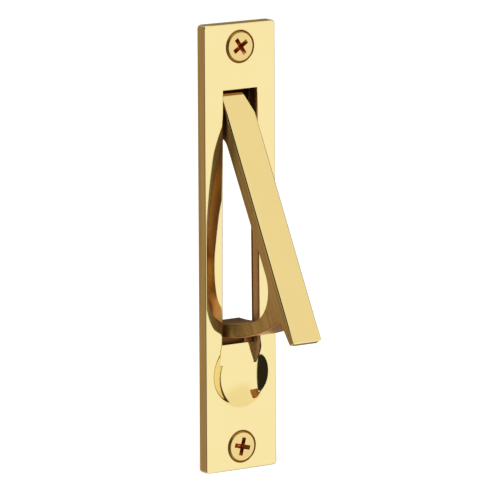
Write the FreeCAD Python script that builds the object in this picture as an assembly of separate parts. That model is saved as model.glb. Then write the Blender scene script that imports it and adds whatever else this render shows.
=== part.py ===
"""Pocket door pull: a slotted faceplate with a hinged loop lever, a pivot pin and two screws.

Millimetres. The plate stands upright with its front towards -Y. Its back lies on y = 0, and the origin is
the centre of that back face, where the plate meets the edge of the door. +Z is up, +X is to the right.
The lever is drawn swung out to its stop.
"""
import FreeCAD, Part
import math
import os

V = FreeCAD.Vector
X_AXIS = V(1, 0, 0)
Y_AXIS = V(0, 1, 0)

# Faceplate
plate_height = 101.6
plate_width = 19.05
plate_thickness = 2.8
plate_corner_radius = 0.9
plate_edge_round = 0.35

# Slot, slightly wider at its foot
slot_width_top = 8.8
slot_width_foot = 9.6

# Pivot: its place below the plate's top end and its depth behind the front face
pivot_inset = 20.75
pivot_depth = 4.75
pin_diameter = 2.2
ear_thickness = 2.2

# Housing behind the plate: two ears that carry the pin, joined by a roof over the lever's heel
housing_depth = 4.4
housing_drop = 5.5
roof_thickness = 1.6
housing_corner_radius = 1.5

# Cheeks behind the plate that guide the lever's tail beside the slot's foot
cheek_thickness = 1.7
cheek_depth = 3.8
cheek_height = 4.0
cheek_drop = 2.0
cheek_corner_radius = 1.5

# Lever: its closed tip stands above the plate's foot end, and its arcs turn about the pivot's axis
tip_inset = 24.35
lever_width = 7.7
bar_thickness_top = 3.65
bar_thickness_foot = 2.95
heel_radius = 5.55
tail_thickness = 3.0
tail_fillet = 7.8
lip_length = 6.15
lip_thickness_root = 2.95
lip_thickness_tip = 1.6
tip_corner_radius = 0.7
lever_edge_round = 0.3
hook_height = 2.8
hook_thickness = 2.2
open_angle = 28.25

# Fingertip dish, and the pad that backs it behind the plate
dish_drop = 2.05
dish_radius = 7.45
dish_depth = 2.75
pad_thickness = 1.3
pad_margin = 0.6
pad_corner_radius = 3.0

# Screws and their countersunk holes, placed from the plate's two ends
screw_inset = 5.3
screw_length = 15.9
screw_head_diameter = 7.1
screw_thread_diameter = 3.9
screw_neck_diameter = 3.4
screw_point_length = 4.0
screw_hole_diameter = 4.3
countersink_mouth = 7.6
countersink_angle = 82.0
recess_span = 4.1
recess_width = 0.9
recess_depth = 1.5
screw_turns = {1: -34.0, -1: 14.0}

# Clearances
heel_clearance = 0.2
tail_clearance = 2.1
lip_end_clearance = 0.4
lip_back_clearance = 0.35
lever_side_clearance = 0.3
lever_bore_clearance = 0.05
ear_bore_clearance = 0.01
screw_seat_clearance = 0.02
stop_clearance = 0.3

# Small blends where the lever's forms run together
heel_blend = 3.0
hook_blend = 0.6
lip_blend = 0.8

# Places that follow from the sizes above
front = -plate_thickness
screw_spacing = plate_height - 2 * screw_inset
pivot_height = plate_height / 2 - pivot_inset
pivot = V(0, front + pivot_depth, pivot_height)
half_lever = lever_width / 2
lever_reach = plate_height - pivot_inset - tip_inset
tail_outer_radius = lever_reach - lip_length
tail_inner_radius = tail_outer_radius - tail_thickness
tail_middle_radius = tail_outer_radius - tail_thickness / 2
hook_outer_radius = tail_outer_radius + hook_height
slot_top = pivot_height + heel_radius + heel_clearance
slot_foot = pivot_height - tail_outer_radius - tail_clearance
lip_end = pivot_height - lever_reach - lip_end_clearance
dish_height = lip_end - dish_drop
hook_front = pad_thickness + stop_clearance
tail_end = hook_front + hook_thickness
ear_inside = half_lever + lever_side_clearance
ear_outside = ear_inside + ear_thickness
housing_low = pivot_height - housing_drop
housing_high = slot_top + roof_thickness
beyond = plate_height


def extrude_along_x(outline, half_width):
    """Prism from a closed outline of (y, z) points, centred on the plane x = 0."""
    points = [V(-half_width, y, z) for y, z in outline]
    face = Part.Face(Part.makePolygon(points + points[:1]))
    return face.extrude(V(2 * half_width, 0, 0))


def extrude_along_y(outline, y_low, y_high):
    """Prism from a closed outline of (x, z) points, between two depths."""
    points = [V(x, y_low, z) for x, z in outline]
    face = Part.Face(Part.makePolygon(points + points[:1]))
    return face.extrude(V(0, y_high - y_low, 0))


def cylinder_on_pivot(radius, half_width):
    """Cylinder about the pivot's axis, centred on the plane x = 0."""
    return Part.makeCylinder(radius, 2 * half_width, pivot - X_AXIS * half_width, X_AXIS)


def ring_on_pivot(inner, outer, half_width):
    """Ring about the pivot's axis, centred on the plane x = 0."""
    return cylinder_on_pivot(outer, half_width).cut(cylinder_on_pivot(inner, half_width))


def edges_where(shape, test):
    """Edges whose end points all pass the test."""
    return [e for e in shape.Edges if all(test(v.Point) for v in e.Vertexes)]


def edges_across(shape, y, z):
    """Edges that run across the width, along X, at the place (y, z)."""
    def there(p):
        return math.hypot(p.y - y, p.z - z) < 0.01
    return [e for e in edges_where(shape, there) if len(e.Vertexes) == 2]


def swung(u, w):
    """Place (y, z) in the open pose of a point drawn closed, u behind and w above the pivot's axis."""
    a = math.radians(open_angle)
    return pivot.y + u * math.cos(a) + w * math.sin(a), pivot.z - u * math.sin(a) + w * math.cos(a)


def on_radius(start, end, radius):
    """Point of the line from start to end that lies at a radius from the pivot's axis, in closed places."""
    du, dw = end[0] - start[0], end[1] - start[1]
    a = du * du + dw * dw
    b = start[0] * du + start[1] * dw
    c = start[0] ** 2 + start[1] ** 2 - radius ** 2
    t = (-b + math.sqrt(b * b - a * c)) / a
    return start[0] + t * du, start[1] + t * dw


def slot_half_width(z):
    """Half width of the slot at a height: its sides run straight from its top to the lip's end."""
    share = (slot_top - z) / (slot_top - slot_foot)
    return (slot_width_top + share * (slot_width_foot - slot_width_top)) / 2


def slot_outline(z_high, z_low):
    """Outline in (x, z) between the slot's two straight sides."""
    high, low = slot_half_width(z_high), slot_half_width(z_low)
    return [(-high, z_high), (high, z_high), (low, z_low), (-low, z_low)]


def lip_back_depth(z):
    """Depth behind the front face of the closed lip's back, at a height on the plate."""
    share = (pivot_height - tail_middle_radius - z) / (lever_reach - tail_middle_radius)
    return lip_thickness_root + share * (lip_thickness_tip - lip_thickness_root)


def plate_blank():
    """Flat plate with round corners and a softened front edge."""
    size = V(plate_width, plate_thickness, plate_height)
    blank = Part.makeBox(size.x, size.y, size.z, V(-size.x / 2, front, -size.z / 2))
    corners = [e for e in blank.Edges if abs(e.Length - plate_thickness) < 1e-6]
    blank = blank.makeFillet(plate_corner_radius, corners)
    rim = edges_where(blank, lambda p: abs(p.y - front) < 1e-6)
    return blank.makeFillet(plate_edge_round, rim)


def back_pad():
    """Pad behind the dish, from the slot's foot down past the dish."""
    half = dish_radius + pad_margin
    foot = dish_height - dish_radius - pad_margin
    pad = Part.makeBox(2 * half, pad_thickness, slot_foot - foot, V(-half, 0, foot))
    corners = [e for e in pad.Edges if abs(e.Length - pad_thickness) < 1e-6]
    return pad.makeFillet(pad_corner_radius, corners)


def block_behind(width, depth, low, high, corner_radius):
    """Block behind the plate, centred on x = 0, with its two far corners rounded in side view."""
    block = Part.makeBox(width, depth, high - low, V(-width / 2, 0, low))
    far = edges_across(block, depth, low) + edges_across(block, depth, high)
    return block.makeFillet(corner_radius, far)


def pivot_housing():
    """Two ears and the roof between them, open below and behind."""
    block = block_behind(2 * ear_outside, housing_depth, housing_low, housing_high, housing_corner_radius)
    return block.cut(Part.makeBox(2 * ear_inside, beyond, beyond, V(-ear_inside, 0, slot_top - beyond)))


def guide_cheeks():
    """Two low walls beside the slot's foot: a block parted by the slot's own sides, carried on below it."""
    width = slot_width_foot + 2 * cheek_thickness
    low, high = slot_foot - cheek_drop, slot_foot + cheek_height
    block = block_behind(width, cheek_depth, low, high, cheek_corner_radius)
    return block.cut(extrude_along_y(slot_outline(slot_top, low), 0, beyond))


def countersunk_hole(z):
    """Countersink and through hole for one screw."""
    slope = math.tan(math.radians(countersink_angle / 2))
    mouth, hole = countersink_mouth / 2, screw_hole_diameter / 2
    cone = Part.makeCone(mouth, hole, (mouth - hole) / slope, V(0, front, z), Y_AXIS)
    return cone.fuse(Part.makeCylinder(hole, beyond, V(0, front, z), Y_AXIS))


def housing_zone():
    """Outline in (y, z) of the space behind the plate that the housing takes and the slot leaves alone."""
    return [(0, housing_low), (beyond, housing_low), (beyond, housing_high), (0, housing_high)]


def make_faceplate():
    """One casting of plate, pad, housing and cheeks, less the slot, lip recess, dish, holes and pin bore."""
    plate = plate_blank().multiFuse([back_pad(), pivot_housing(), guide_cheeks()]).removeSplitter()
    slot = extrude_along_y(slot_outline(slot_top, slot_foot), front - beyond, beyond)
    plate = plate.cut(slot.cut(extrude_along_x(housing_zone(), ear_outside)))

    floor_high = front + lip_back_depth(slot_foot) + lip_back_clearance
    floor_low = front + lip_back_depth(lip_end) + lip_back_clearance
    side_view = [(front - beyond, slot_foot), (floor_high, slot_foot)]
    side_view += [(floor_low, lip_end), (front - beyond, lip_end)]
    walls = extrude_along_y(slot_outline(slot_foot, lip_end), front - beyond, beyond)
    plate = plate.cut(extrude_along_x(side_view, plate_width).common(walls))

    sphere_radius = (dish_radius ** 2 + dish_depth ** 2) / (2 * dish_depth)
    plate = plate.cut(Part.makeSphere(sphere_radius, V(0, front + dish_depth - sphere_radius, dish_height)))

    for side in (-1, 1):
        plate = plate.cut(countersunk_hole(side * screw_spacing / 2))
    return plate.cut(cylinder_on_pivot(pin_diameter / 2 + ear_bore_clearance, plate_width))


def make_lever():
    """Bar, lip, heel, tail and hook as one casting, swung out to the open stop."""
    face_u = -pivot_depth
    bar_top = (face_u + bar_thickness_top, 0)
    bar_foot = (face_u + bar_thickness_foot, -tail_middle_radius)
    lip_root = (face_u + lip_thickness_root, -tail_middle_radius)
    lip_tip = (face_u + lip_thickness_tip, -lever_reach)

    side_view = [(face_u, 0), (face_u, -lever_reach), lip_tip, lip_root, bar_foot, bar_top]
    bar = extrude_along_x([swung(u, w) for u, w in side_view], half_lever)

    behind_face = [(face_u, beyond), (face_u, -beyond), (beyond, -beyond), (beyond, beyond)]
    behind = extrude_along_x([swung(u, w) for u, w in behind_face], half_lever)
    heel = cylinder_on_pivot(heel_radius, half_lever).common(behind)

    below_pivot = [(front - beyond, pivot.z), (front - beyond, -beyond)]
    below_pivot += [(tail_end, -beyond), (tail_end, pivot.z)]
    below = extrude_along_x(below_pivot, half_lever)
    tail = ring_on_pivot(tail_inner_radius, tail_outer_radius, half_lever).common(behind).common(below)

    hook = ring_on_pivot(tail_middle_radius, hook_outer_radius, half_lever)
    hook_slab = [(hook_front, pivot.z), (hook_front, -beyond), (tail_end, -beyond), (tail_end, pivot.z)]
    hook = hook.common(extrude_along_x(hook_slab, half_lever))

    lever = bar.multiFuse([heel, tail, hook]).removeSplitter()

    tail_corner = swung(*on_radius(bar_top, bar_foot, tail_inner_radius))
    lever = lever.makeFillet(tail_fillet, edges_across(lever, *tail_corner))
    heel_corner = swung(*on_radius(bar_top, bar_foot, heel_radius))
    lever = lever.makeFillet(heel_blend, edges_across(lever, *heel_corner))
    lip_corner = swung(*on_radius(lip_root, lip_tip, tail_outer_radius))
    lever = lever.makeFillet(lip_blend, edges_across(lever, *lip_corner))
    hook_drop = math.sqrt(tail_outer_radius ** 2 - (hook_front - pivot.y) ** 2)
    lever = lever.makeFillet(hook_blend, edges_across(lever, hook_front, pivot.z - hook_drop))

    for side in (-1, 1):
        def at_tip(p):
            return p.x * side > 0 and math.hypot(p.y - pivot.y, p.z - pivot.z) > lever_reach - 0.01
        lever = lever.makeFillet(tip_corner_radius, edges_where(lever, at_tip))

    lever = lever.makeFillet(lever_edge_round, face_rim(lever))
    return lever.cut(cylinder_on_pivot(pin_diameter / 2 + lever_bore_clearance, half_lever))


def face_rim(lever):
    """Edges round the bar's flat front face, but for its top edge on the heel."""
    a = math.radians(open_angle)
    outward = V(0, -math.cos(a), math.sin(a))
    flat = [f for f in lever.Faces if isinstance(f.Surface, Part.Plane)]
    face = max((f for f in flat if f.normalAt(0, 0).dot(outward) > 0.999), key=lambda f: f.Area)
    top = max(v.Point.z for v in face.Vertexes)
    return [e for e in face.Edges if not all(abs(v.Point.z - top) < 1e-6 for v in e.Vertexes)]


def make_pin():
    """Plain pin, as long as the ears are wide."""
    return cylinder_on_pivot(pin_diameter / 2, ear_outside)


def make_screw(z, turn):
    """Flat-head screw seated in the countersink at height z, its cross recess turned about the screw."""
    slope = math.tan(math.radians(countersink_angle / 2))
    head, neck, thread = screw_head_diameter / 2, screw_neck_diameter / 2, screw_thread_diameter / 2
    top = front + (countersink_mouth / 2 - head) / slope - screw_seat_clearance
    under_head = top + (head - neck) / slope
    tip = top + screw_length
    side_view = [(0, top), (head, top), (neck, under_head), (neck, 0), (thread, 0)]
    side_view += [(thread, tip - screw_point_length), (0, tip)]
    points = [V(r, y, 0) for r, y in side_view]
    screw = Part.Face(Part.makePolygon(points + points[:1])).revolve(V(0, 0, 0), Y_AXIS, 360)
    for quarter in (0, 90):
        wing = Part.makeBox(recess_span, recess_depth, recess_width)
        wing.translate(V(-recess_span / 2, top, -recess_width / 2))
        wing.rotate(V(0, 0, 0), Y_AXIS, turn + quarter)
        screw = screw.cut(wing)
    screw.translate(V(0, 0, z))
    return screw


def make_screws():
    """Both screws, as one group of separate solids."""
    places = [(side * screw_spacing / 2, turn) for side, turn in screw_turns.items()]
    return Part.makeCompound([make_screw(z, turn) for z, turn in places])


os.makedirs("parts", exist_ok=True)
make_faceplate().exportStep("parts/faceplate.step")
make_lever().exportStep("parts/lever.step")
make_pin().exportStep("parts/pivot_pin.step")
make_screws().exportStep("parts/mounting_screws.step")
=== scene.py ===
"""Looks of a pocket door pull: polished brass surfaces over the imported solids.

Shapes are worked out in millimetres in the part's own frame: the plate's back lies on y = 0, its front faces
-Y, +Z is up. A depth is measured from the front face towards the back.
"""
import math

import bmesh
import bpy
import numpy as np
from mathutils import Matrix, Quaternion, Vector


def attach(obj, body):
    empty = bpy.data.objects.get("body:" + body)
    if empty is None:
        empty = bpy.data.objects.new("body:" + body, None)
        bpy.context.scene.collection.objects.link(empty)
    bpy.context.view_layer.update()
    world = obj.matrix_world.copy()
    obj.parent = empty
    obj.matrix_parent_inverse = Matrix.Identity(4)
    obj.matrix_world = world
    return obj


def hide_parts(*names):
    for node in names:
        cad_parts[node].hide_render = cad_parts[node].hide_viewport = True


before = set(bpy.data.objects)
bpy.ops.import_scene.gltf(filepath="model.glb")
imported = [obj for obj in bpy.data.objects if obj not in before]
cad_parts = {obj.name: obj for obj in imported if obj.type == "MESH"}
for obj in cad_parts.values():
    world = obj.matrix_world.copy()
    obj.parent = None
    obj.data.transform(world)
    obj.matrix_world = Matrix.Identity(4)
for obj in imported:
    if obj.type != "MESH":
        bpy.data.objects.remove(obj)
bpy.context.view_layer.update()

MM = 0.001
# A row of points this close to an edge keeps the flat beside it flat when it is shaded smooth.
close_by = 0.05

# Faceplate
plate_half_width = 9.525
plate_half_height = 50.8
plate_thickness = 2.8
plate_corner = 0.9
plate_edge = 0.35
# Crown of the rails beside the slot: middle line, radius, and the heights over which it comes and goes
rail_middle = 7.2
rail_radius = 16.5
crown_heights = (-20, -12, 8, 30)
front = -plate_thickness

# Slot, lip recess and fingertip dish
slot_top = 35.8
slot_foot = -22.4
recess_end = -26.85
slot_half_top = 4.4
slot_half_foot = 4.8
slot_edge = 0.45
shoulder_edge = 0.95
recess_edge = 0.12
shoulder_heights = (-25, -23, -15)
# Above this height the slot's sides need fewer samples, which meet the plate's border at coarse_border.
coarse_from = -14
coarse_border = -15.5
floor_blend = 0.12
floor_high = 2.665
floor_low = 1.88
ground_depth = 2.15
dish_height = -28.9
dish_radius = 7.45
dish_deep = 2.75
ball_radius = (dish_radius ** 2 + dish_deep ** 2) / (2 * dish_deep)
# Roll of the dish's rim, and how it grows with the angle in degrees above the dish's middle
rim_roll = 0.38
worn_roll = 1.35
worn_from, worn_over = 12, 40

# Screw places and countersinks
screw_height = 45.5
mouth_radius = 3.8
hole_radius = 2.15
cone_slope = math.tan(math.radians(41.0))
mouth_roll = 0.2
# The plate's ends beyond this height belong to the screws, and the middle to the slot.
zone = 38.6

# Pad, pivot housing and guide cheeks behind the plate
pad_half_width = 8.05
pad_low = -36.95
pad_thickness = 1.3
pad_corner = 3.0
pad_roll = 0.35
wall_roll = 0.3
roof_overlap = 0.2
ear_inside = 4.15
ear_outside = 6.35
bore_radius = 1.11
housing_depth = 4.4
housing_low = 24.55
housing_high = 37.4
housing_corner = 1.5
cheek_outside = 6.5
cheek_depth = 3.8
cheek_high = -18.4
cheek_low = -24.4
cheek_corner = 1.5

# Pivot and lever; u runs behind and w above the pivot's axis, with the lever closed
pivot_y = 1.95
pivot_z = 30.05
open_angle = math.radians(28.25)
face_u = -4.75
tip_w = -56.5
bar_thick_top = 3.65
bar_thick_foot = 2.95
heel_radius = 5.55
tail_inner = 47.35
tail_outer = 50.35
tail_middle = 48.85
tail_fillet = 7.8
heel_blend = 3.0
lip_blend = 0.8
hook_outer = 53.15
hook_front_y = 1.6
tail_end_y = 3.8
hook_blend = 0.6
lip_thick_tip = 1.6
lever_half = 3.85
lever_edge = 0.22
face_edge = 0.42
tip_corner = 0.6
tip_edge = 0.35
tip_back_edge = 0.2
crown_cut = 0.12
hook_cut = 0.4
# The face's round starts to narrow this far from its ends, over this length.
edge_fade = 1.5, 3.0
# Cut corner at the top right: its foot on the face, its end on the heel, and its width at the face's top
corner_low = -1.95
corner_back = -1.5
corner_cut = 1.85

# Pin and screws
pin_radius = 1.1
head_radius = 3.55
head_gap = 0.02
head_top = front + (mouth_radius - head_radius) / cone_slope - head_gap
# The bevelled top stands this far above head_top, where the cone begins.
head_rise = 0.52
head_roll = 0.15
disc_radius = 3.12
neck_radius = 1.7
neck_length = 2.6
thread_radius = 1.95
thread_root = 1.45
thread_pitch = 1.3
thread_half = 0.3
thread_start, thread_grow = 2.9, 0.8
shank_start = 2.2
screw_length = 15.9
point_length = 4.0
cross_half_span = 2.05
cross_half_width = 0.5
cross_foot_span = 0.75
cross_foot_share = 0.55
cross_turns = {1: math.radians(34.0), -1: math.radians(-14.0)}


def grid_faces(rows, cols, first):
    """Quads of a grid of rows by columns whose points are numbered from first."""
    r, c = np.meshgrid(np.arange(rows - 1), np.arange(cols - 1), indexing="ij")
    corner = first + r * cols + c
    return np.stack([corner, corner + 1, corner + cols + 1, corner + cols], -1).reshape(-1, 4)


def make_piece(name, *finishes, sharp=35.0):
    """Object from lists of surfaces in millimetres, one list for each of its finishes.

    A surface is a grid of points, rows by columns by xyz, or one polygon, points by xyz. Points that fall
    together are joined, which closes every seam and pole. Faces are then turned outwards, shaded smooth, and
    split where they meet at more than the sharp angle.
    """
    points, faces, numbers, first = [], [], [], 0
    for number, surfaces in enumerate(finishes):
        for surface in surfaces:
            count = surface.size // 3
            grid = surface.ndim == 3
            new = grid_faces(*surface.shape[:2], first).tolist() if grid else [list(range(first, first + count))]
            points.append(surface.reshape(-1, 3))
            faces += new
            numbers += [number] * len(new)
            first += count
    mesh = bpy.data.meshes.new(name)
    mesh.from_pydata(np.concatenate(points) * MM, [], faces)
    mesh.polygons.foreach_set("material_index", numbers)
    shape = bmesh.new()
    shape.from_mesh(mesh)
    bmesh.ops.remove_doubles(shape, verts=shape.verts, dist=0.0004 * MM)
    bmesh.ops.dissolve_degenerate(shape, edges=shape.edges, dist=0.00002 * MM)
    bmesh.ops.recalc_face_normals(shape, faces=shape.faces)
    shape.to_mesh(mesh)
    shape.free()
    mesh.shade_smooth()
    mesh.set_sharp_from_angle(angle=math.radians(sharp))
    piece = bpy.data.objects.new(name, mesh)
    bpy.context.scene.collection.objects.link(piece)
    return piece


def at_depth(x, depth, z):
    """Points at (x, z) that lie a depth behind the plate's front face."""
    x, depth, z = np.broadcast_arrays(x, depth, z)
    return np.stack([x, front + depth, z], -1)


def soft_max(a, b, width):
    """The larger of a and b, with a parabola joining them where they differ by less than the width."""
    gap = a - b
    return np.where(gap > width, a, np.where(gap < -width, b, b + (gap + width) ** 2 / (4 * width)))


def crown_depth(x, z):
    """Depth of the buffed face: the rails beside the slot are crowned, as two wide cylinders along the plate.

    Outside a rail's middle line the face falls away over the whole height, inside it only beside the slot.
    """
    away = np.abs(x) - rail_middle
    beside_slot = np.interp(z, crown_heights, [0, 1, 1, 0])
    return np.where(away > 0, 1, beside_slot) * away ** 2 / (2 * rail_radius)


def ball_depth(x, z):
    """Depth of the dish's ball under the crowned face: the ball's lower half, negative outside the rim."""
    r = np.hypot(x, z - dish_height)
    ball = np.sqrt(np.clip(ball_radius ** 2 - r ** 2, 0, None))
    return crown_depth(x, z) + ball - (ball_radius - dish_deep)


def dish_depth(x, z):
    """Depth of the polished front: the crowned face and the dish, whose rim is rolled softly.

    The roll is narrow round the dish's lower half and widens towards the slot, where the buffing wheel
    has worn both shoulders away.
    """
    lift = np.degrees(np.arctan2(z - dish_height, np.abs(x)))
    width = rim_roll + worn_roll * np.clip((lift - worn_from) / worn_over, 0, 1) ** 2.2
    return soft_max(ball_depth(x, z), crown_depth(x, z), width)


def recess_depth(x, z):
    """Depth of the lip recess: a floor that slopes up to its end, run softly into the dish's ball."""
    share = (slot_foot - z) / (slot_foot - recess_end)
    return soft_max(floor_high + share * (floor_low - floor_high), ball_depth(x, z), floor_blend)


def slot_half(z):
    """Half width of the slot, straight from its top to its foot and on to the recess's end."""
    return slot_half_top + (slot_top - z) / (slot_top - slot_foot) * (slot_half_foot - slot_half_top)


# Samples along the slot's sides and across it, shared by every surface that meets there
low_z = np.linspace(recess_end, slot_foot, 31)
side_z = np.concatenate([low_z, np.linspace(slot_foot, coarse_from, 57)[1:],
                         np.linspace(coarse_from, slot_top, 41)[1:]])
border_z = np.interp(side_z, [recess_end, coarse_from, slot_top], [-zone, coarse_border, zone])
across = np.linspace(-1, 1, 65)
side_count, across_count, foot_index = len(side_z), len(across), len(low_z) - 1
quarter = np.linspace(0, math.pi / 2, 8)


def ring(right, top, left, bottom):
    """One closed loop from its four sides, each given in the loop's own order."""
    return np.concatenate([right, top, left, bottom])


def side_ring(sides, top, bottom):
    """Loop of values that are the same on the left and right sides, numbered upwards from the foot."""
    top, bottom = np.broadcast_to(top, across_count), np.broadcast_to(bottom, across_count)
    return ring(sides, top, sides[::-1], bottom)


def slot_surfaces():
    """Front between the slot and the plate's border, the slot's walls, the recess and the middle of the back.

    The front is a ring of rows: a quarter round that rises from the wall, then straight lines out to the
    border, all lowered by the depth of the dish and of the rails' crown. Walls run from the quarter round
    down to the back or to the recess's floor. Gives three lists: polished, unpolished, and the walls' back
    edge, dark with painted shade.
    """
    half = slot_half(side_z)
    half_end, half_foot = slot_half(recess_end), slot_half(slot_foot)
    x = ring(half, across[::-1] * slot_half(slot_top), -half[::-1], across * half_end)
    z = side_ring(side_z, slot_top, recess_end)
    side_out_z = np.zeros(side_count)
    side_out_z[0], side_out_z[-1] = -1, 1
    out_x = ring(np.ones(side_count), across[::-1], -np.ones(side_count), across)
    out_z = side_ring(side_out_z, 1, -1)
    end_x = across * half_end
    end_edge = np.clip((floor_low - ball_depth(end_x, recess_end)) / 2, 0, recess_edge)
    side_edge = np.interp(side_z, [recess_end, *shoulder_heights],
                          [recess_edge, slot_edge, shoulder_edge, slot_edge])
    edge = side_ring(side_edge, slot_edge, end_edge)

    turn = quarter[:, None]
    round_x = x + out_x * edge * (1 - np.cos(turn))
    round_z = z + out_z * edge * (1 - np.cos(turn))
    rounded = at_depth(round_x, dish_depth(round_x, round_z) + edge * (1 - np.sin(turn)), round_z)

    flat_half = plate_half_width - plate_edge
    border_x = ring(np.full(side_count, flat_half), across[::-1] * flat_half,
                    np.full(side_count, -flat_half), across * flat_half)
    border = side_ring(border_z, zone, -zone)
    run = np.linspace(0, 1, 97)[:, None]
    flat_x = round_x[-1] + (border_x - round_x[-1]) * run
    flat_z = round_z[-1] + (border - round_z[-1]) * run
    flat = at_depth(flat_x, dish_depth(flat_x, flat_z), flat_z)

    top_of_wall = dish_depth(x, z) + edge
    upper = slice(foot_index, 2 * side_count + across_count - foot_index)
    high = top_of_wall[upper]
    level_rows = [np.full_like(high, depth) for depth in (ground_depth, floor_high, plate_thickness)]
    upper_rows = np.stack([high, high + close_by, *level_rows])
    upper_wall = at_depth(x[upper], upper_rows, z[upper])

    start = 2 * side_count + across_count - 1 - foot_index
    lower = np.r_[start:2 * (side_count + across_count), 0:foot_index + 1]
    low_top, low_floor = top_of_wall[lower], recess_depth(x[lower], z[lower])
    guard = np.minimum(close_by, 0.3 * (low_floor - low_top))
    lower_wall = at_depth(x[lower], np.stack([low_top, low_top + guard, low_floor]), z[lower])

    floor_x = across * slot_half(low_z)[:, None]
    floor_z = np.broadcast_to(low_z[:, None], floor_x.shape)
    floor = at_depth(floor_x, recess_depth(floor_x, floor_z), floor_z)
    foot_rows = np.stack([recess_depth(floor_x[-1], floor_z[-1]), np.full(across_count, plate_thickness)])
    foot_wall = at_depth(across * half_foot, foot_rows, slot_foot)

    back_half = slot_half(np.maximum(side_z, slot_foot))
    back_x = ring(back_half, across[::-1] * slot_half(slot_top), -back_half[::-1], across * half_foot)
    back_z = np.maximum(z, slot_foot)
    rim_x = ring(np.full(side_count, plate_half_width), across[::-1] * plate_half_width,
                 np.full(side_count, -plate_half_width), across * plate_half_width)
    back = at_depth(np.stack([back_x, rim_x]), plate_thickness, np.stack([back_z, border]))
    # The wheel reaches only the outer half of the quarter round. From ground_depth to the back the wall is dark
    # with painted shade.
    middle = len(quarter) // 2
    polished = [rounded[middle:], flat, floor]
    bare_and_shade = [rounded[:middle + 1], upper_wall[:3], lower_wall, foot_wall, back]
    return polished, bare_and_shade, [upper_wall[2:]]


def end_outline(inset):
    """Outline (x, z) of the plate's upper end, from the right border over the round corners to the left."""
    half, top = plate_half_width - inset, plate_half_height - inset
    corner_x, corner_z = plate_half_width - plate_corner, plate_half_height - plate_corner
    sides = np.linspace(zone, corner_z, 22)
    right = np.stack([np.full_like(sides, half), sides], -1)
    bend = (plate_corner - inset) * np.stack([np.cos(quarter), np.sin(quarter)], -1)
    right_corner = bend + [corner_x, corner_z]
    over = np.linspace(corner_x, -corner_x, 36)
    middle = np.stack([over, np.full_like(over, top)], -1)
    mirror = np.array([-1, 1])
    return np.concatenate([right, right_corner, middle, right_corner[::-1] * mirror, right[::-1] * mirror])


def screw_surface(side):
    """One end of the plate with its countersunk hole, as rings from the back's outline to the front's.

    Between the two outlines each ring is a circle about the screw, of one radius and depth: hole, cone and
    rolled mouth. From the mouth straight lines run out over the flat front, which the crown lowers. Gives the
    polished front, and the unpolished inside and back, which carry painted shade.
    """
    def zone_loop(inset):
        edge = np.stack([across * (plate_half_width - inset), np.full(across_count, zone)], -1)
        return np.concatenate([end_outline(inset), edge])

    behind, ahead = zone_loop(0), zone_loop(plate_edge)
    angle = np.arctan2(ahead[:, 1] - screw_height, ahead[:, 0])
    circle = np.stack([np.cos(angle), np.sin(angle)], -1)
    cone_turn = math.pi / 2 - math.atan(cone_slope)
    turns = np.linspace(cone_turn, 0, 6)
    roll_radius = mouth_radius + mouth_roll * math.tan(cone_turn / 2)
    cone_deep = (mouth_radius - hole_radius) / cone_slope
    hole = [plate_thickness, cone_deep + close_by, cone_deep]
    radii = np.concatenate([[hole_radius] * len(hole), roll_radius - mouth_roll * np.sin(turns)])
    depths = np.concatenate([hole, mouth_roll * (1 - np.cos(turns))])
    rings = radii[:, None, None] * circle + [0, screw_height]
    share = np.concatenate([[0.02], np.linspace(0.1, 1, 37)])[:, None, None]
    flat = rings[-1] + (ahead - rings[-1]) * share
    places = np.concatenate([behind[None], rings, flat])
    depths = np.concatenate([[plate_thickness], depths, np.zeros(len(share))])[:, None]
    mouth = 1 + len(hole)
    crowned = np.arange(len(depths))[:, None] >= mouth
    depths = depths + crowned * crown_depth(places[..., 0], side * places[..., 1])
    skin = at_depth(side * places[..., 0], depths, side * places[..., 1])
    return skin[mouth:], skin[:mouth + 1]


def rim_surface():
    """Outer edge of the plate: a quarter round from the front, then the straight side down to the back."""
    insets = np.concatenate([plate_edge * (1 - np.sin(quarter)), [0, 0]])
    depths = np.concatenate([plate_edge * (1 - np.cos(quarter)), [plate_edge + close_by, plate_thickness]])

    def outline(inset):
        end = end_outline(inset)
        right = np.stack([np.full(side_count, plate_half_width - inset), border_z], -1)
        left = right[::-1] * [-1, 1]
        return np.concatenate([right, end, left, -end])

    places = np.stack([outline(inset) for inset in insets])
    sunk = depths[:, None] + crown_depth(places[0, :, 0], places[0, :, 1])
    return at_depth(places[..., 0], np.minimum(sunk, plate_thickness), places[..., 1])


def pad_surface():
    """Pad behind the dish: a rounded oblong carried back from the plate, with a rolled back edge."""
    insets = np.concatenate([[0, 0], pad_roll * (1 - np.cos(quarter)), [pad_roll + close_by]])
    depths = np.concatenate([[0, pad_thickness - pad_roll - close_by],
                             pad_thickness - pad_roll * (1 - np.sin(quarter)), [pad_thickness]])
    corner_x = np.array([1, -1, -1, 1]) * (pad_half_width - pad_corner)
    corner_z = np.array([slot_foot - pad_corner] * 2 + [pad_low + pad_corner] * 2)
    angles = (np.arange(4) * math.pi / 2)[:, None] + np.linspace(0, math.pi / 2, 13)
    radius = (pad_corner - insets)[:, None, None]
    x = (corner_x[:, None] + radius * np.cos(angles)).reshape(len(insets), -1)
    z = (corner_z[:, None] + radius * np.sin(angles)).reshape(len(insets), -1)
    x, z = np.concatenate([x, x[:, :1]], 1), np.concatenate([z, z[:, :1]], 1)
    centre_x, centre_z = np.zeros((1, x.shape[1])), np.full((1, x.shape[1]), (slot_foot + pad_low) / 2)
    x, z = np.concatenate([centre_x, x, centre_x]), np.concatenate([centre_z, z, centre_z])
    depths = np.concatenate([[0], depths, [pad_thickness]])
    return at_depth(x, plate_thickness + depths[:, None], z)


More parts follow.
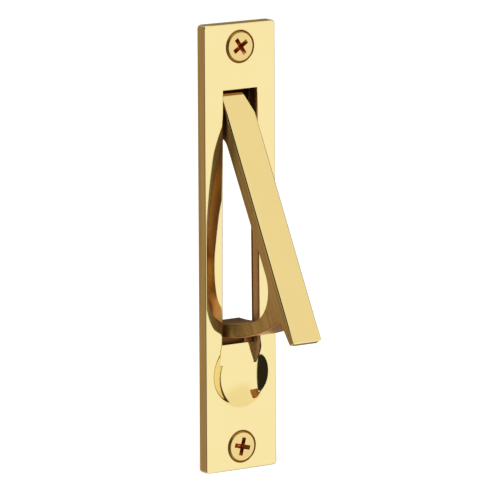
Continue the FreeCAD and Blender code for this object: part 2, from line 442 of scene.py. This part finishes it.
def wall_surface(side, hub, bore, inside, outside, depth, low, high, corner):
    """Wall behind the plate on one side: an oblong, its far corners rounded, carried from inside to outside.

    The inside is a place x for each height z. The rows go once round the wall's section: hub, outer face,
    rolled edge, rim, inner face, hub. The hub (y, z) is the centre of a bore, or a point if the bore is 0.
    """
    fall = np.linspace(math.pi / 2, 0, 10)
    level = np.linspace(0, 1, 10)[:, None]

    def outline(inset):
        radius = corner - inset
        bend = radius * np.stack([np.cos(fall), np.sin(fall)], -1)
        upper = [depth - corner, high - corner] + bend
        lower = [depth - corner, low + corner] + bend[::-1] * [1, -1]
        foot, top = np.array([0, low + inset]), np.array([0, high - inset])
        return np.concatenate([upper, upper[-1] + (lower[0] - upper[-1]) * level, lower,
                               lower[-1] + (foot - lower[-1]) * level, foot + (top - foot) * level,
                               top + (upper[0] - top) * level])

    whole = outline(0)
    away = whole - hub
    away /= np.hypot(*away.T)[:, None]
    # A second ring lies close round the bore, or round the point.
    inner, outer = hub + bore * away, hub + (bore * 1.04 + 0.02) * away
    rolls = [outline(wall_roll * (1 - math.sin(t))) for t in quarter]
    places = np.stack([inner, outer, outline(wall_roll + close_by), *rolls, whole, outline(close_by),
                       outer, inner, inner])
    across_wall = np.concatenate([[outside] * 3, outside - wall_roll * (1 - np.cos(quarter))])
    x = np.concatenate([np.broadcast_to(across_wall[:, None], (len(across_wall), len(whole))),
                        inside(places[len(across_wall):-1, :, 1]), np.full((1, len(whole)), outside)])
    if not bore:
        x, places = x[:-1], places[:-1]
    return np.stack([side * x, places[..., 0], places[..., 1]], -1)


def roof_surface():
    """Roof of the housing: its section above the slot's top, carried across between the two ears."""
    far, level = housing_depth - housing_corner, housing_high - housing_corner
    sine = np.linspace(max(0, (slot_top - level) / housing_corner), 1, 9)
    bend = np.stack([far + housing_corner * np.sqrt(1 - sine ** 2), level + housing_corner * sine], -1)
    section = np.concatenate([[[0, slot_top], [bend[0, 0], slot_top]], bend,
                              [[0, housing_high], [0, slot_top]]])
    places = np.broadcast_to(section, (2, *section.shape))
    x = np.broadcast_to(np.array([[-1], [1]]) * (ear_inside + roof_overlap), places.shape[:2])
    return np.stack([x, places[..., 0], places[..., 1]], -1)


def behind_plate():
    """Pad, pivot housing (two ears and a roof) and guide cheeks."""
    ear_hub = np.array([pivot_y, pivot_z])
    cheek_hub = np.array([cheek_depth / 2, (cheek_low + cheek_high) / 2])
    forms = [pad_surface(), roof_surface()]
    for side in (1, -1):
        forms.append(wall_surface(side, ear_hub, bore_radius, lambda z: 0 * z + ear_inside, ear_outside,
                                  housing_depth, housing_low, housing_high, housing_corner))
        forms.append(wall_surface(side, cheek_hub, 0, slot_half, cheek_outside,
                                  cheek_depth, cheek_low, cheek_high, cheek_corner))
    return forms


def arc(centre, start, end, count):
    """Points of the shorter arc about a centre from a start point to an end point."""
    centre, start, end = map(np.asarray, (centre, start, end))
    a = math.atan2(*(start - centre)[::-1])
    turn = (math.atan2(*(end - centre)[::-1]) - a + math.pi) % (2 * math.pi) - math.pi
    angles = a + turn * np.linspace(0, 1, count)
    return centre + np.hypot(*(start - centre)) * np.stack([np.cos(angles), np.sin(angles)], -1)


def straight(start, end, count):
    """Points of a straight line, with one close to each end so that the flat shades flat."""
    start, end = np.asarray(start), np.asarray(end)
    near = close_by / np.hypot(*(end - start))
    share = np.concatenate([[0, near], np.linspace(0, 1, count)[1:-1], [1 - near, 1]])
    return start + (end - start) * share[:, None]


def blend_centre(start, end, radius, reach):
    """Centre of an arc of a radius that touches a line from behind and lies at a reach from the pivot.

    The line is moved back by the radius, and the lower of its two points at that reach is taken. Gives the
    centre and the point where the arc touches the line.
    """
    start, end = np.asarray(start), np.asarray(end)
    along = (end - start) / np.hypot(*(end - start))
    back = np.array([-along[1], along[0]])
    moved = start + back * radius
    b, c = moved @ along, moved @ moved - reach ** 2
    centre = moved + along * (-b + math.sqrt(b * b - c))
    return centre, centre - back * radius


def closed_place(y, z):
    """Place (u, w) with the lever closed of a point (y, z) that is given with it open."""
    p, q = y - pivot_y, z - pivot_z
    c, s = math.cos(open_angle), math.sin(open_angle)
    return np.array([p * c - q * s, p * s + q * c])


def below_pivot(y, radius):
    """Point below the pivot at a depth y and a radius from it, both with the lever open."""
    return closed_place(y, pivot_z - math.sqrt(radius ** 2 - (y - pivot_y) ** 2))


def softened(outline, corners):
    """Outline with each corner, given by its number and a cut, replaced by a parabola.

    The parabola starts and ends a cut away from the corner, and points nearer than that are left out.
    """
    share = np.linspace(0, 1, 8)[:, None]
    done, last = [], 0
    for i, cut in corners.items():
        at = outline[i]
        before, after = outline[i - 1] - at, outline[(i + 1) % len(outline)] - at
        a, b = at + before / np.hypot(*before) * cut, at + after / np.hypot(*after) * cut
        bend = (1 - share) ** 2 * a + 2 * share * (1 - share) * at + share ** 2 * b
        clear = np.hypot(*(outline - at).T) > 1.4 * cut
        first, second = outline[last:i][clear[last:i]], outline[i + 1:i + 3][clear[i + 1:i + 3]]
        done += [first, at[None] + (a - at) * 1.3, bend, at[None] + (b - at) * 1.3, second]
        last = i + 3
    return np.concatenate(done + [outline[last:]])


def tip_round(w, radius):
    """How far a quarter round of a radius stands back at a height above the tip."""
    rest = np.clip(radius - (w - tip_w), 0, radius)
    return radius - np.sqrt(radius ** 2 - rest ** 2)


def corner_away(u, w):
    """How much the cut corner beside the lever's top takes off the right side at a place (u, w).

    A plane through the line from the face at corner_low to the heel's round at corner_back cuts the corner
    off, so what it takes grows evenly with the distance from that line, to corner_cut at the face's top.
    """
    along = np.array([corner_back - face_u, math.sqrt(heel_radius ** 2 - corner_back ** 2) - corner_low])
    along /= np.hypot(*along)
    top = (math.sqrt(heel_radius ** 2 - face_u ** 2) - corner_low) * along[0]
    distance = (w - corner_low) * along[0] - (u - face_u) * along[1]
    return corner_cut * np.maximum(distance, 0) / top


def lever_outline():
    """Side view (u, w) of the closed lever, from the lip's root down its back, up the face and round the loop.

    Gives the outline and how many of its first points lie on the lip's back; as many follow on its front,
    at the same heights.
    """
    bar_top = np.array([face_u + bar_thick_top, 0.0])
    bar_foot = np.array([face_u + bar_thick_foot, -tail_middle])
    lip_tip = np.array([face_u + lip_thick_tip, tip_w])
    heel_c, heel_line = blend_centre(bar_top, bar_foot, heel_blend, heel_radius + heel_blend)
    tail_c, tail_line = blend_centre(bar_top, bar_foot, tail_fillet, tail_inner - tail_fillet)
    lip_c, lip_line = blend_centre(bar_foot, lip_tip, lip_blend, tail_outer + lip_blend)
    hook_q = -math.sqrt((tail_outer + hook_blend) ** 2 - (hook_front_y - hook_blend - pivot_y) ** 2)
    hook_c = closed_place(hook_front_y - hook_blend, pivot_z + hook_q)
    hook_line = closed_place(hook_front_y, pivot_z + hook_q)

    near_tip = tip_w + tip_corner * (1 - np.cos(np.linspace(0, math.pi / 2, 12)))
    lip_w = np.concatenate([near_tip, np.linspace(tip_w + 0.8, lip_line[1] - close_by, 8), lip_line[1:]])
    slope = (bar_foot[0] - lip_tip[0]) / (bar_foot[1] - lip_tip[1])
    lip_back = np.stack([lip_tip[0] + slope * (lip_w - tip_w) - tip_round(lip_w, tip_back_edge), lip_w], -1)
    lip_front = np.stack([face_u + tip_round(lip_w, tip_edge), lip_w], -1)

    crown = np.array([face_u, math.sqrt(heel_radius ** 2 - face_u ** 2)])
    heel_back = np.array([heel_radius, 0.0])
    heel_join = heel_c * heel_radius / (heel_radius + heel_blend)
    tail_join = tail_c * tail_inner / (tail_inner - tail_fillet)
    hook_join = hook_c * tail_outer / (tail_outer + hook_blend)
    lip_join = lip_c * tail_outer / (tail_outer + lip_blend)
    tail_end, hook_end = below_pivot(tail_end_y, tail_inner), below_pivot(tail_end_y, hook_outer)
    hook_front = below_pivot(hook_front_y, hook_outer)
    pieces = [
        lip_back[::-1],
        lip_front,
        straight(lip_front[-1], (face_u, corner_low), 22)[1:],
        straight((face_u, corner_low), crown, 6)[1:],
        arc((0, 0), crown, heel_back, 40)[1:],
        arc((0, 0), heel_back, heel_join, 24)[1:],
        arc(heel_c, heel_join, heel_line, 16)[1:],
        straight(heel_line, tail_line, 16)[1:],
        arc(tail_c, tail_line, tail_join, 32)[1:],
        arc((0, 0), tail_join, tail_end, 40)[1:],
        straight(tail_end, hook_end, 5)[1:],
        arc((0, 0), hook_end, hook_front, 5)[1:],
        straight(hook_front, hook_line, 4)[1:],
        arc(hook_c, hook_line, hook_join, 8)[1:],
        arc((0, 0), hook_join, lip_join, 56)[1:],
        arc(lip_c, lip_join, lip_line, 10)[1:-1],
    ]
    outline = np.concatenate(pieces)
    # Sharp corners lie where the face meets the heel and at three places round the hook.
    last = np.cumsum([len(p) for p in pieces]) - 1
    corners = {last[3]: crown_cut, last[9]: hook_cut, last[10]: hook_cut, last[11]: hook_cut}
    return softened(outline, corners), len(lip_w)


def lever_piece():
    """Lever: its side view carried across its width, with a quarter round along both sides, swung open.

    The side view is moved inwards along its own normals by r(1 - sin t) while the width grows to
    h - r(1 - cos t). The half width h shrinks near the tip by the tip's corner round, and on the right by
    the cut corner at the top.
    """
    outline, lip_count = lever_outline()
    ahead = np.roll(outline, -1, 0) - outline
    ahead /= np.hypot(*ahead.T)[:, None]
    normal = np.stack([ahead[:, 1], -ahead[:, 0]], -1)
    before = np.roll(normal, 1, 0)
    turned = np.sum(outline[:, 0] * np.roll(outline[:, 1], -1) - np.roll(outline[:, 0], -1) * outline[:, 1])
    miter = np.sign(turned) * (normal + before) / (1 + np.sum(normal * before, 1))[:, None]
    away = corner_away(*outline.T)
    half = lever_half - tip_round(outline[:, 1], tip_corner)

    # The round is wider along the face than inside the loop, and narrows again towards the face's two ends.
    on_face = outline[:, 0] < face_u + 0.01
    fade_from, fade_over = edge_fade
    above_tip = np.clip((outline[:, 1] - tip_w - fade_from) / fade_over, 0, 1)
    reach = above_tip * np.clip((fade_from - outline[:, 1]) / fade_over, 0, 1)
    edge = lever_edge + (face_edge - lever_edge) * on_face * reach
    turn = quarter[:, None]
    insets = np.concatenate([edge[None] + 0.03, edge * (1 - np.sin(turn)), 0 * edge[None]])
    steps = np.concatenate([0 * edge[None], edge * (1 - np.cos(turn)), edge[None] + close_by])
    insets, steps = np.concatenate([insets, insets[::-1]]), np.concatenate([steps, steps[::-1]])
    sides = np.repeat([1, -1], len(steps) // 2)
    u = outline[:, 0] - insets * miter[:, 0]
    w = outline[:, 1] - insets * miter[:, 1]
    x = sides[:, None] * (half - steps) - away * (sides[:, None] > 0)
    c, s = math.cos(open_angle), math.sin(open_angle)
    skin = np.stack([x, pivot_y + u * c + w * s, pivot_z - u * s + w * c], -1)
    closed = np.concatenate([skin, skin[:, :1]], 1)
    # The wheel reaches the face and the sides, but not the inside of the loop or the lip's back.
    first = lip_count - 4
    last = 2 * lip_count + int(np.argmax(outline[2 * lip_count:, 0] > face_u + 0.5))
    # The cut leaves a flat facet between its line on the side, the chord, and the outline. On the left, which
    # is not cut, the facet lies in the side itself.
    cut = np.flatnonzero(away > 1e-6)
    low, high = cut[0] - 1, cut[-1] + 1
    share = np.linspace(0, 1, high - low + 1)[:, None]
    flanks = []
    for row in (skin[0], skin[-1]):
        lip_back, lip_front = row[:lip_count][::-1], row[lip_count:2 * lip_count]
        chord = row[low] + (row[high] - row[low]) * share
        rest = np.concatenate([row[2 * lip_count - 1:low], chord, row[high + 1:], row[:1]])
        flanks += [np.stack([lip_back, lip_front]), np.stack([chord, row[low:high + 1]]), rest]
    inside = [closed[:, :first + 1], closed[:, last:]]
    return make_piece("lever_polished", [closed[:, first:last + 1]], inside, flanks)


def lathe(radii, heights, count):
    """Rings of a turned form: each row a circle of a radius at a height along the axis."""
    angle = np.linspace(0, 2 * math.pi, count + 1)
    radii, heights = np.asarray(radii, float)[:, None], np.asarray(heights, float)[:, None]
    return radii * np.cos(angle), radii * np.sin(angle), heights + 0 * angle


def pin_piece():
    """Pivot pin: a plain rod across both ears, with chamfered and slightly domed ends."""
    # Profile of one end, from the dome's middle over the chamfer to the rod
    radii = np.array([0, 0.5, 0.82, 0.9, pin_radius - 0.02, pin_radius, pin_radius])
    heights = ear_outside - np.array([0, 0.008, 0.02, 0.04, 0.22, 0.26, 0.6])
    radii, heights = np.concatenate([radii, radii[::-1]]), np.concatenate([heights, -heights[::-1]])
    y, z, x = lathe(radii, heights, 48)
    return make_piece("pivot_pin_turned", [np.stack([x, pivot_y + y, pivot_z + z], -1)])


def screw_head(side):
    """Countersunk head: rings whose outline is the cross recess in the middle and a circle further out.

    The cross is a radius as a function of the angle: half span over cosine on a wing's end, half width over
    sine along its flanks. It narrows towards its bottom. Gives the top, the inside of the cross, and the bevel
    with the cone.
    """
    wing = math.atan2(cross_half_width, cross_half_span)
    eighth = np.concatenate([np.linspace(-math.pi / 4, -wing, 9), np.linspace(-wing, wing, 9)[1:],
                             np.linspace(wing, math.pi / 4, 9)[1:]])
    local = np.tile(eighth[:-1], 4)
    angle = (np.arange(4) * math.pi / 2).repeat(len(eighth) - 1) + local
    flank = cross_half_width / np.maximum(np.abs(np.sin(local)), 1e-6)
    cross = np.minimum(cross_half_span / np.cos(local), flank)
    deep = np.minimum(cross_foot_span / np.cos(local), cross_foot_share * flank)
    one = np.ones_like(local)
    loops = [0 * one, deep * 0.9, deep, cross - 0.03, cross + 0.03, cross + 0.1]
    depths = [1.75, 1.45, 1.35, 0.06, 0.0, 0.0]
    # The head's top stands a little proud: a short roll leads to a bevel, and the bevel down to the cone.
    turn = np.linspace(0, math.atan2(head_rise, head_radius - disc_radius), 7)
    cone_end = head_rise + (head_radius - neck_radius) / cone_slope
    neck_end = head_rise + neck_length
    radii = np.concatenate([[disc_radius - close_by], disc_radius + head_roll * np.sin(turn),
                            [head_radius - 0.03, head_radius, neck_radius, neck_radius, 0]])
    drops = np.concatenate([[0], head_roll * (1 - np.cos(turn)),
                            [head_rise - 0.03, head_rise, cone_end, neck_end, neck_end]])
    loops = np.concatenate([np.stack(loops), radii[:, None] * one])
    depths = np.concatenate([depths, drops])[:, None]
    turned = angle + cross_turns[side]
    x, z = loops * np.cos(turned), side * screw_height + loops * np.sin(turned)
    skin = np.stack([x, head_top - head_rise + depths + 0 * x, z], -1)
    skin = np.concatenate([skin, skin[:, :1]], 1)
    # The cross ends at its brim, row 4, and the bevel starts within the roll, at row 9.
    brim, bevel = 4, 9
    return skin[brim:bevel + 1], skin[:brim + 1], skin[bevel:]


def screw_shank(side):
    """Shank: a radius that winds a ridge up the rod once a pitch, and shrinks to nothing along the point."""
    along = np.linspace(shank_start, screw_length, 190)[:, None]
    angle = np.linspace(0, 2 * math.pi, 37)
    phase = (along / thread_pitch - angle / (2 * math.pi)) % 1.0
    ridge = np.clip(1 - np.abs(phase - 0.5) / thread_half, 0, 1)
    taper = np.clip((screw_length - along) / point_length, 0, 1) ** 0.9
    grown = np.clip((along - thread_start) / thread_grow, 0, 1)
    radius = (thread_root + (thread_radius - 0.03 - thread_root) * ridge * grown) * taper
    radius[0] = 0
    x, z = radius * np.cos(angle), side * screw_height + radius * np.sin(angle)
    return np.stack([x, head_top + along + 0 * x, z], -1)


def linear(hex_colour):
    """Linear colour of an sRGB hex value."""
    s = np.array([int(hex_colour[i:i + 2], 16) for i in (1, 3, 5)]) / 255
    rgb = np.where(s <= 0.04045, s / 12.92, ((s + 0.055) / 1.055) ** 2.4)
    return (*rgb.tolist(), 1.0)


def add_node(tree, kind, settings=None, **links):
    """Adds a node, sets its properties, and fills its inputs with values or with other nodes' outputs."""
    node = tree.nodes.new(kind)
    for key, value in (settings or {}).items():
        setattr(node, key, value)
    for key, value in links.items():
        socket = node.inputs[int(key[1:])] if key[1:].isdigit() else node.inputs[key.replace("_", " ")]
        if isinstance(value, bpy.types.NodeSocket):
            tree.links.new(value, socket)
        else:
            socket.default_value = value
    return node


def brass(name, light, deep, rough_low, rough_high, wave_mm, bare_and_shade, grain=0.0, belt_lean=0.0):
    """Cast brass, ground and buffed to a mirror, then lacquered.

    Buffing leaves a clear mirror with faint long waves, hairline marks from the wheel and hazier patches
    where it was handled. A zone along one axis takes its own colour and roughness: unpolished brown casting
    where the wheel does not reach, and painted shade where the lever goes into the slot, at the slot's top
    and in the screw holes. bare_and_shade gives the axis, the two places along it in millimetres between
    which the polish ends, a colour and a roughness. Along z the places are counted both ways from the
    plate's middle. Grain is the share of the deep colour that follows the long marks of the grinding belt,
    the rest follows the haze. The belt ran along z, or leaned from it.
    """
    material = bpy.data.materials.new(name)
    material.use_nodes = True
    tree = material.node_tree
    tree.nodes.clear()
    place = add_node(tree, "ShaderNodeTexCoord").outputs["Object"]
    # Object coordinates are metres, so a pattern of p millimetres has a scale of 1000 / p.
    haze = add_node(tree, "ShaderNodeTexNoise", Vector=place, Scale=1000 / 9.0, Detail=3.0, Roughness=0.55)
    # Wheel marks run across the plate, about 0.12 mm apart and 6 mm long, coarser than life so that they show.
    stretch = add_node(tree, "ShaderNodeMapping", Vector=place, Scale=(1 / 6.0, 1 / 6.0, 1 / 0.12))
    marks = add_node(tree, "ShaderNodeTexNoise", Vector=stretch.outputs[0], Scale=1000.0, Detail=2.0)
    tint = add_node(tree, "ShaderNodeMix", {"data_type": "RGBA"}, _6=linear(light), _7=linear(deep))
    # Belt marks run along the part, 0.9 mm apart and 30 mm long; the noise is spread over its middle range.
    lean = add_node(tree, "ShaderNodeMapping", Vector=place, Rotation=(belt_lean, 0, 0))
    belt = add_node(tree, "ShaderNodeMapping", Vector=lean.outputs[0], Scale=(1 / 0.9, 1 / 0.9, 1 / 30.0))
    streak = add_node(tree, "ShaderNodeTexNoise", Vector=belt.outputs[0], Scale=1000.0, Detail=3.0,
                      Roughness=0.6)
    spread = add_node(tree, "ShaderNodeMapRange", Value=streak.outputs["Fac"], _1=0.36, _2=0.64)
    pattern = add_node(tree, "ShaderNodeMix", _0=grain, _2=haze.outputs["Fac"], _3=spread.outputs[0])
    tree.links.new(pattern.outputs[0], tint.inputs[0])
    both = add_node(tree, "ShaderNodeMath", {"operation": "MULTIPLY_ADD"}, _0=marks.outputs["Fac"], _1=0.35)
    tree.links.new(haze.outputs["Fac"], both.inputs[2])
    rough = add_node(tree, "ShaderNodeMapRange", Value=both.outputs[0], _1=0.45, _2=0.95, _3=rough_low,
                     _4=rough_high)
    axis, polish_ends, bare_shade_starts, bare_shade_colour, bare_shade_rough = bare_and_shade
    along = add_node(tree, "ShaderNodeSeparateXYZ", Vector=place).outputs[axis]
    if axis == 2:
        along = add_node(tree, "ShaderNodeMath", {"operation": "ABSOLUTE"}, _0=along).outputs[0]
    bare_shade_mask = add_node(tree, "ShaderNodeMapRange", Value=along, _1=polish_ends * MM, _2=bare_shade_starts * MM)
    colour = add_node(tree, "ShaderNodeMix", {"data_type": "RGBA"}, _0=bare_shade_mask.outputs[0], _6=tint.outputs[2],
                      _7=linear(bare_shade_colour))
    matte = add_node(tree, "ShaderNodeMix", _0=bare_shade_mask.outputs[0], _2=rough.outputs[0], _3=bare_shade_rough)
    # The castings keep long shallow waves a few millimetres across after buffing.
    wave = add_node(tree, "ShaderNodeTexNoise", Vector=place, Scale=1000 / wave_mm, Detail=1.0)
    bump = add_node(tree, "ShaderNodeBump", Strength=0.12, Distance=0.00006, Height=wave.outputs["Fac"])
    shader = add_node(tree, "ShaderNodeBsdfPrincipled", Metallic=1.0, Base_Color=colour.outputs[2],
                      Roughness=matte.outputs[0], Normal=bump.outputs[0])
    add_node(tree, "ShaderNodeOutputMaterial", Surface=shader.outputs[0])
    return material


def dress(piece, materials, body, node):
    """Gives a piece its finishes, lets it ride on its body and stand for its solid."""
    for material in materials:
        piece.data.materials.append(material)
    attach(piece, body)
    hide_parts(node)


front_grids, bare_grids, wall_back_shade_grids = slot_surfaces()
end_fronts, end_backs = zip(*(screw_surface(side) for side in (1, -1)))
rim = rim_surface()
faceplate = make_piece("faceplate_polished", [*front_grids, *end_fronts, rim[:-1]],
                       [*bare_grids, *end_backs, *behind_plate()], [rim[-2:]], wall_back_shade_grids)
lever = lever_piece()
pin = pin_piece()
tops, crosses, bevels = zip(*(screw_head(side) for side in (1, -1)))
screws = make_piece("mounting_screws_cut", [*tops, screw_shank(1), screw_shank(-1)], crosses, bevels)

# Zones of unpolished casting and of painted shade: an axis, where the polish ends and the zone starts along it,
# its colour and roughness
# Dark brown of the unpolished casting, also used as painted shade inside the slot.
dark_cast_and_shade = ("#6E4826", 0.42)
no_bare = (1, 90.0, 91.0, *dark_cast_and_shade)
plate_bare = (1, -0.01, 0.01, *dark_cast_and_shade)
# Painted shade: cast surfaces turn darker from 26 to 34 mm either way from the middle, at the slot's top under
# the housing and in the screw holes.
cast_shade_at_ends = (2, 26.0, 34.0, "#A87638", 0.45)
# Painted shade: the lever's flanks, the inside of its loop and its heel turn darker where they go into the slot.
flank_slot_shade = (1, -7.0, 1.5, *dark_cast_and_shade)
loop_slot_shade = (1, -9.0, 0.0, *dark_cast_and_shade)
heel_slot_shade = (1, -0.6, 0.8, "#C88A48", 0.42)

plate_brass = brass("buffed_brass", "#FAE8AB", "#F7E4A4", 0.03, 0.09, 7.0, plate_bare)
cast_brass = brass("cast_brass", "#F2D2A8", "#E2BC8C", 0.42, 0.58, 3.0, cast_shade_at_ends)
flank_brass = brass("ground_flank_brass", "#FAE6AE", "#BC9458", 0.36, 0.48, 4.0, flank_slot_shade, 0.42, open_angle)
edge_brass = brass("ground_edge_brass", "#F6E8B4", "#E4CC94", 0.05, 0.14, 4.0, no_bare, 0.85)
loop_brass = brass("ground_brass", "#D2A274", "#B07E52", 0.30, 0.42, 3.0, loop_slot_shade)
lever_brass = brass("buffed_lever_brass", "#F6E5AA", "#F3E0A2", 0.03, 0.09, 7.0, heel_slot_shade)
# Painted shade: the slot walls' back edge is dark brown.
wall_back_shade_brass = brass("painted_shade_wall_back", "#8A5C30", "#5E3E20", 0.45, 0.60, 3.0, no_bare)
turned_brass = brass("turned_brass", "#EBD598", "#DDC283", 0.10, 0.22, 2.0, no_bare)
screw_brass = brass("plated_screw_brass", "#F4DC98", "#E6C880", 0.05, 0.14, 1.5, no_bare)
# Painted shade: the inside of the screws' cross is a dark brown.
cross_shade_brass = brass("painted_shade_cross", "#D08C58", "#B4703C", 0.18, 0.30, 1.5, no_bare)
bevel_brass = brass("turned_edge_brass", "#C8A258", "#A47C3C", 0.38, 0.50, 1.5, no_bare)
dress(faceplate, [plate_brass, cast_brass, edge_brass, wall_back_shade_brass], "plate", "faceplate")
dress(lever, [lever_brass, loop_brass, flank_brass], "lever", "lever")
dress(pin, [turned_brass], "plate", "pivot_pin")
dress(screws, [screw_brass, cross_shade_brass, bevel_brass], "plate", "mounting_screws")


def staged(name, points, material):
    """Stage surface from a grid of points in metres, kept out of the object."""
    rows, cols = points.shape[:2]
    mesh = bpy.data.meshes.new(name)
    mesh.from_pydata(points.reshape(-1, 3), [], grid_faces(rows, cols, 0).tolist())
    mesh.materials.append(material)
    stage = bpy.data.objects.new(name, mesh)
    bpy.context.scene.collection.objects.link(stage)
    return stage


def studio_card(name, reach, azimuths, elevations, colour, fade):
    """Card of a light tent: a patch of a sphere about the object, between two azimuths and two elevations.

    Azimuth 0 lies in front of the plate and grows to the right. The card stands at a reach in metres, is seen
    only in reflections, and its cover fades to nothing over the last few degrees along its edges.
    """
    az, el = np.meshgrid(np.linspace(*azimuths, 61), np.linspace(*elevations, 61), indexing="ij")
    a, e = np.radians(az), np.radians(el)
    points = reach * np.stack([np.sin(a) * np.cos(e), -np.cos(a) * np.cos(e), np.sin(e)], -1)
    from_sides = np.minimum(az - azimuths[0], azimuths[1] - az)
    from_ends = np.minimum(el - elevations[0], elevations[1] - el)
    edge = np.minimum(from_sides, from_ends)
    cover = np.clip(edge / fade, 0, 1)
    cover = cover * cover * (3 - 2 * cover)
    material = bpy.data.materials.new(name)
    material.use_nodes = True
    tree = material.node_tree
    tree.nodes.clear()
    share = add_node(tree, "ShaderNodeAttribute", {"attribute_name": "cover"})
    clear = add_node(tree, "ShaderNodeBsdfTransparent")
    glow = add_node(tree, "ShaderNodeEmission", Color=linear(colour), Strength=1.0)
    mixed = add_node(tree, "ShaderNodeMixShader", _0=share.outputs["Fac"], _1=clear.outputs[0],
                     _2=glow.outputs[0])
    add_node(tree, "ShaderNodeOutputMaterial", Surface=mixed.outputs[0])
    card = staged(name, points, material)
    card.data.attributes.new("cover", "FLOAT", "POINT").data.foreach_set("value", cover.ravel())
    card.visible_camera = card.visible_diffuse = card.visible_shadow = False
    card.visible_transmission = card.visible_volume_scatter = False
    return card


studio_card("card_back_left", 0.98, (-185, -100), (-70, 70), "#A08968", 10)
studio_card("card_back_right", 0.96, (122, 176), (-70, 70), "#8F8060", 10)
studio_card("card_right", 0.94, (77, 130), (-60, 60), "#4C3B29", 2)
studio_card("card_left", 0.94, (-108, -46), (-60, 60), "#897369", 6)
studio_card("card_by_camera", 0.90, (-52, -18), (-50, 33), "#2A2722", 2)
studio_card("card_left_high", 0.88, (-110, -32), (9, 48), "#1E1916", 3)
studio_card("card_overhead", 1.00, (-12, 98), (2, 88), "#F7EFDC", 26)


def pale_floor():
    """Large pale floor under the plate's foot: white to the eye, with the object's shadow on it."""
    material = bpy.data.materials.new("pale_floor")
    material.use_nodes = True
    tree = material.node_tree
    tree.nodes.clear()
    paint = add_node(tree, "ShaderNodeBsdfDiffuse", Color=linear("#E6E6E6"))
    glow = add_node(tree, "ShaderNodeEmission")
    rays = add_node(tree, "ShaderNodeLightPath")
    seen = add_node(tree, "ShaderNodeMath", {"operation": "MAXIMUM"}, _0=rays.outputs["Is Camera Ray"],
                    _1=rays.outputs["Is Transmission Ray"])
    lift = add_node(tree, "ShaderNodeMath", {"operation": "MULTIPLY"}, _0=seen.outputs[0], _1=0.56)
    tree.links.new(lift.outputs[0], glow.inputs["Strength"])
    both = add_node(tree, "ShaderNodeAddShader", _0=paint.outputs[0], _1=glow.outputs[0])
    add_node(tree, "ShaderNodeOutputMaterial", Surface=both.outputs[0])
    reach = np.linspace(-8, 8, 3)
    x, y = np.meshgrid(reach, reach, indexing="ij")
    floor = staged("floor", np.stack([x, y, np.full_like(x, -plate_half_height * MM)], -1), material)
    floor.visible_glossy = False
    return floor


pale_floor()

# White surroundings, seen by the eye and in the brass; other rays get a softer level
world = bpy.data.worlds.new("white_tent")
bpy.context.scene.world = world
world.use_nodes = True
sky = world.node_tree
sky.nodes.clear()
path = add_node(sky, "ShaderNodeLightPath")
eye = add_node(sky, "ShaderNodeMath", {"operation": "MAXIMUM"}, _0=path.outputs["Is Camera Ray"],
               _1=path.outputs["Is Glossy Ray"])
eye = add_node(sky, "ShaderNodeMath", {"operation": "MAXIMUM"}, _0=eye.outputs[0],
               _1=path.outputs["Is Transmission Ray"])
level = add_node(sky, "ShaderNodeMapRange", Value=eye.outputs[0], _3=0.45, _4=1.0)
white = add_node(sky, "ShaderNodeBackground", Color=(1, 1, 1, 1), Strength=level.outputs[0])
add_node(sky, "ShaderNodeOutputWorld", Surface=white.outputs[0])

lamp_data = bpy.data.lights.new("soft_box", "AREA")
lamp_data.shape = "DISK"
lamp_data.size = 1.4
lamp_data.energy = 14.0
lamp = bpy.data.objects.new("soft_box", lamp_data)
lamp.location = (-0.5, -0.6, 1.5)
lamp.rotation_euler = (-lamp.location).to_track_quat("-Z", "Y").to_euler()
lamp.visible_glossy = False
bpy.context.scene.collection.objects.link(lamp)

# Camera: a long lens from the left and a little above, as in the photograph
camera_data = bpy.data.cameras.new("camera")
camera_data.sensor_width = 36.0
camera_data.lens = 385.63
camera_data.clip_end = 50.0
camera = bpy.data.objects.new("camera", camera_data)
aim = Vector((1.614, -4.004, -0.514)) * MM
camera.location = Vector((-660.80, -982.04, 210.79)) * MM
looking = (aim - camera.location).to_track_quat("-Z", "Y")
camera.rotation_euler = (looking @ Quaternion((0, 0, 1), math.radians(-0.2445))).to_euler()
bpy.context.scene.collection.objects.link(camera)
bpy.context.scene.camera = camera
bpy.context.scene.view_settings.view_transform = "Standard"
